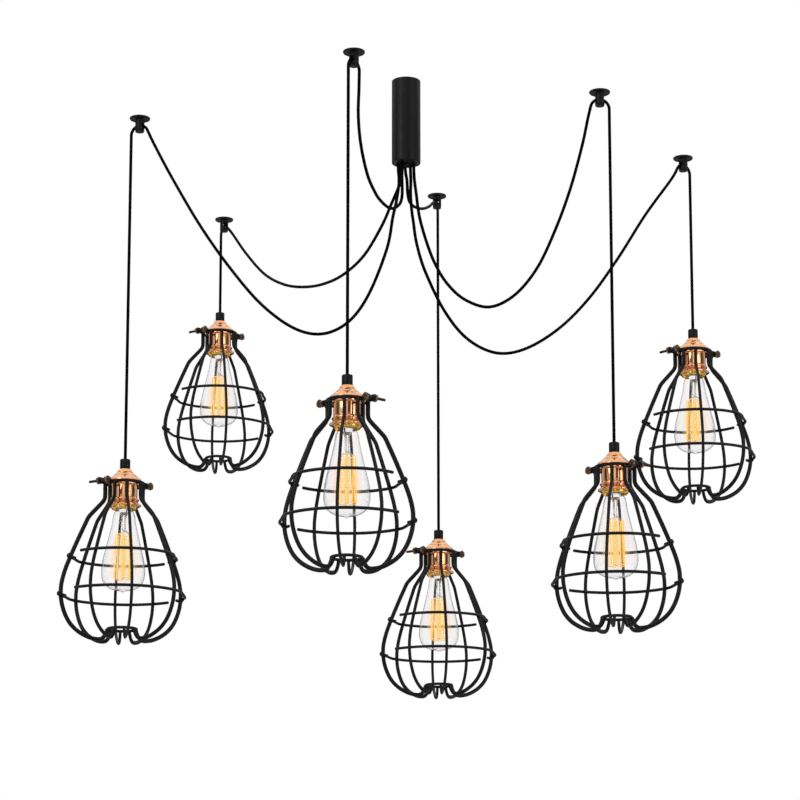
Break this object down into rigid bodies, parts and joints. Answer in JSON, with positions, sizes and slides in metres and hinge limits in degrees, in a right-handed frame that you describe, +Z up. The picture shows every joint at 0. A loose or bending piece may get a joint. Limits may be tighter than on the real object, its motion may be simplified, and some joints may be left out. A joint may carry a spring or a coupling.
{
  "type": "multi-arm pendant light",
  "caption": "Swag ceiling light: tall narrow canopy, black cords sagging over ceiling hooks, pear-shaped wire cages clamped round copper lampholders with clear filament bulbs.",
  "frame": {"origin": "middle of the canopy where its bracket meets the ceiling; the whole light hangs below z = 0", "axes": "+Z up through the ceiling, -Y towards the pictured side, +X to the right seen from there"},
  "size_m": [1.0526, 0.9793, 0.8322],
  "materials": {
    "black_metal": "satin black powder coat",
    "zinc_steel": "bright zinc plate",
    "block_ceramic": "unglazed white ceramic",
    "black_cord": "smooth matt black sheath",
    "satin_copper": "satin copper plate with a polished brass mouth",
    "amber_glass": "clear, faintly amber, glossy",
    "dark_bronze": "dark bronze, slightly worn"
  },
  "bodies": {
    "root": {"canopy_cup": "black_metal", "ceiling_bracket": "zinc_steel", "canopy_nut": "black_metal", "terminal_block": "block_ceramic", "ceiling_hook_1": "black_metal", "swag_cord_1": "black_cord", "ceiling_hook_2": "black_metal", "swag_cord_2": "black_cord", "ceiling_hook_3": "black_metal", "swag_cord_3": "black_cord", "ceiling_hook_4": "black_metal", "swag_cord_4": "black_cord", "ceiling_hook_5": "black_metal", "swag_cord_5": "black_cord", "ceiling_hook_6": "black_metal", "swag_cord_6": "black_cord"},
    "hanging_cord_1": {"drop_cord_1": "black_cord"},
    "pendant_1": {"cord_grip_1": "black_metal", "lamp_holder_1": "satin_copper"},
    "guard_1": {"cage_1": "black_metal", "clamp_bolt_left_1": "dark_bronze", "clamp_bolt_right_1": "dark_bronze"},
    "lamp_1": {"bulb_1": "amber_glass"},
    "hanging_cord_2": {"drop_cord_2": "black_cord"},
    "pendant_2": {"cord_grip_2": "black_metal", "lamp_holder_2": "satin_copper"},
    "guard_2": {"cage_2": "black_metal", "clamp_bolt_left_2": "dark_bronze", "clamp_bolt_right_2": "dark_bronze"},
    "lamp_2": {"bulb_2": "amber_glass"},
    "hanging_cord_3": {"drop_cord_3": "black_cord"},
    "pendant_3": {"cord_grip_3": "black_metal", "lamp_holder_3": "satin_copper"},
    "guard_3": {"cage_3": "black_metal", "clamp_bolt_left_3": "dark_bronze", "clamp_bolt_right_3": "dark_bronze"},
    "lamp_3": {"bulb_3": "amber_glass"},
    "hanging_cord_4": {"drop_cord_4": "black_cord"},
    "pendant_4": {"cord_grip_4": "black_metal", "lamp_holder_4": "satin_copper"},
    "guard_4": {"cage_4": "black_metal", "clamp_bolt_left_4": "dark_bronze", "clamp_bolt_right_4": "dark_bronze"},
    "lamp_4": {"bulb_4": "amber_glass"},
    "hanging_cord_5": {"drop_cord_5": "black_cord"},
    "pendant_5": {"cord_grip_5": "black_metal", "lamp_holder_5": "satin_copper"},
    "guard_5": {"cage_5": "black_metal", "clamp_bolt_left_5": "dark_bronze", "clamp_bolt_right_5": "dark_bronze"},
    "lamp_5": {"bulb_5": "amber_glass"},
    "hanging_cord_6": {"drop_cord_6": "black_cord"},
    "pendant_6": {"cord_grip_6": "black_metal", "lamp_holder_6": "satin_copper"},
    "guard_6": {"cage_6": "black_metal", "clamp_bolt_left_6": "dark_bronze", "clamp_bolt_right_6": "dark_bronze"},
    "lamp_6": {"bulb_6": "amber_glass"}
  },
  "joints": [
    {"name": "cord_swing_1", "type": "hinge", "parent": "root", "child": "hanging_cord_1", "pos_m": [-0.4141, 0.15593, -0.0288], "axis": [0.3524, 0.9358, 0], "range_deg": [-8, 20]},
    {"name": "pendant_sway_1", "type": "hinge", "parent": "hanging_cord_1", "child": "pendant_1", "pos_m": [-0.4141, 0.15593, -0.5267], "axis": [-0.9358, 0.3524, 0], "range_deg": [-15, 15]},
    {"name": "guard_turn_1", "type": "hinge", "parent": "pendant_1", "child": "guard_1", "pos_m": [-0.4141, 0.15593, -0.561], "axis": [0, 0, 1], "continuous": true},
    {"name": "bulb_turn_1", "type": "hinge", "parent": "pendant_1", "child": "lamp_1", "pos_m": [-0.4141, 0.15593, -0.601], "axis": [0, 0, 1], "continuous": true},
    {"name": "cord_swing_2", "type": "hinge", "parent": "root", "child": "hanging_cord_2", "pos_m": [-0.31606, 0.65862, -0.0288], "axis": [0.9016, 0.4326, 0], "range_deg": [-8, 20]},
    {"name": "pendant_sway_2", "type": "hinge", "parent": "hanging_cord_2", "child": "pendant_2", "pos_m": [-0.31606, 0.65862, -0.1637], "axis": [-0.4326, 0.9016, 0], "range_deg": [-15, 15]},
    {"name": "guard_turn_2", "type": "hinge", "parent": "pendant_2", "child": "guard_2", "pos_m": [-0.31606, 0.65862, -0.198], "axis": [0, 0, 1], "continuous": true},
    {"name": "bulb_turn_2", "type": "hinge", "parent": "pendant_2", "child": "lamp_2", "pos_m": [-0.31606, 0.65862, -0.238], "axis": [0, 0, 1], "continuous": true},
    {"name": "cord_swing_3", "type": "hinge", "parent": "root", "child": "hanging_cord_3", "pos_m": [-0.08046, -0.12785, -0.0288], "axis": [-0.8464, 0.5326, 0], "range_deg": [-8, 20]},
    {"name": "pendant_sway_3", "type": "hinge", "parent": "hanging_cord_3", "child": "pendant_3", "pos_m": [-0.08046, -0.12785, -0.4707], "axis": [-0.5326, -0.8464, 0], "range_deg": [-15, 15]},
    {"name": "guard_turn_3", "type": "hinge", "parent": "pendant_3", "child": "guard_3", "pos_m": [-0.08046, -0.12785, -0.505], "axis": [0, 0, 1], "continuous": true},
    {"name": "bulb_turn_3", "type": "hinge", "parent": "pendant_3", "child": "lamp_3", "pos_m": [-0.08046, -0.12785, -0.545], "axis": [0, 0, 1], "continuous": true},
    {"name": "cord_swing_4", "type": "hinge", "parent": "root", "child": "hanging_cord_4", "pos_m": [0.05237, 0.53393, -0.0288], "axis": [0.9952, -0.0976, 0], "range_deg": [-8, 20]},
    {"name": "pendant_sway_4", "type": "hinge", "parent": "hanging_cord_4", "child": "pendant_4", "pos_m": [0.05237, 0.53393, -0.5627], "axis": [0.0976, 0.9952, 0], "range_deg": [-15, 15]},
    {"name": "guard_turn_4", "type": "hinge", "parent": "pendant_4", "child": "guard_4", "pos_m": [0.05237, 0.53393, -0.597], "axis": [0, 0, 1], "continuous": true},
    {"name": "bulb_turn_4", "type": "hinge", "parent": "pendant_4", "child": "lamp_4", "pos_m": [0.05237, 0.53393, -0.637], "axis": [0, 0, 1], "continuous": true},
    {"name": "cord_swing_5", "type": "hinge", "parent": "root", "child": "hanging_cord_5", "pos_m": [0.29685, 0.04405, -0.0288], "axis": [0.1468, -0.9892, 0], "range_deg": [-8, 20]},
    {"name": "pendant_sway_5", "type": "hinge", "parent": "hanging_cord_5", "child": "pendant_5", "pos_m": [0.29685, 0.04405, -0.5267], "axis": [0.9892, 0.1468, 0], "range_deg": [-15, 15]},
    {"name": "guard_turn_5", "type": "hinge", "parent": "pendant_5", "child": "guard_5", "pos_m": [0.29685, 0.04405, -0.561], "axis": [0, 0, 1], "continuous": true},
    {"name": "bulb_turn_5", "type": "hinge", "parent": "pendant_5", "child": "lamp_5", "pos_m": [0.29685, 0.04405, -0.601], "axis": [0, 0, 1], "continuous": true},
    {"name": "cord_swing_6", "type": "hinge", "parent": "root", "child": "hanging_cord_6", "pos_m": [0.44814, 0.34148, -0.0288], "axis": [0.6061, -0.7954, 0], "range_deg": [-8, 20]},
    {"name": "pendant_sway_6", "type": "hinge", "parent": "hanging_cord_6", "child": "pendant_6", "pos_m": [0.44814, 0.34148, -0.2797], "axis": [0.7954, 0.6061, 0], "range_deg": [-15, 15]},
    {"name": "guard_turn_6", "type": "hinge", "parent": "pendant_6", "child": "guard_6", "pos_m": [0.44814, 0.34148, -0.314], "axis": [0, 0, 1], "continuous": true},
    {"name": "bulb_turn_6", "type": "hinge", "parent": "pendant_6", "child": "lamp_6", "pos_m": [0.44814, 0.34148, -0.354], "axis": [0, 0, 1], "continuous": true}
  ]
}
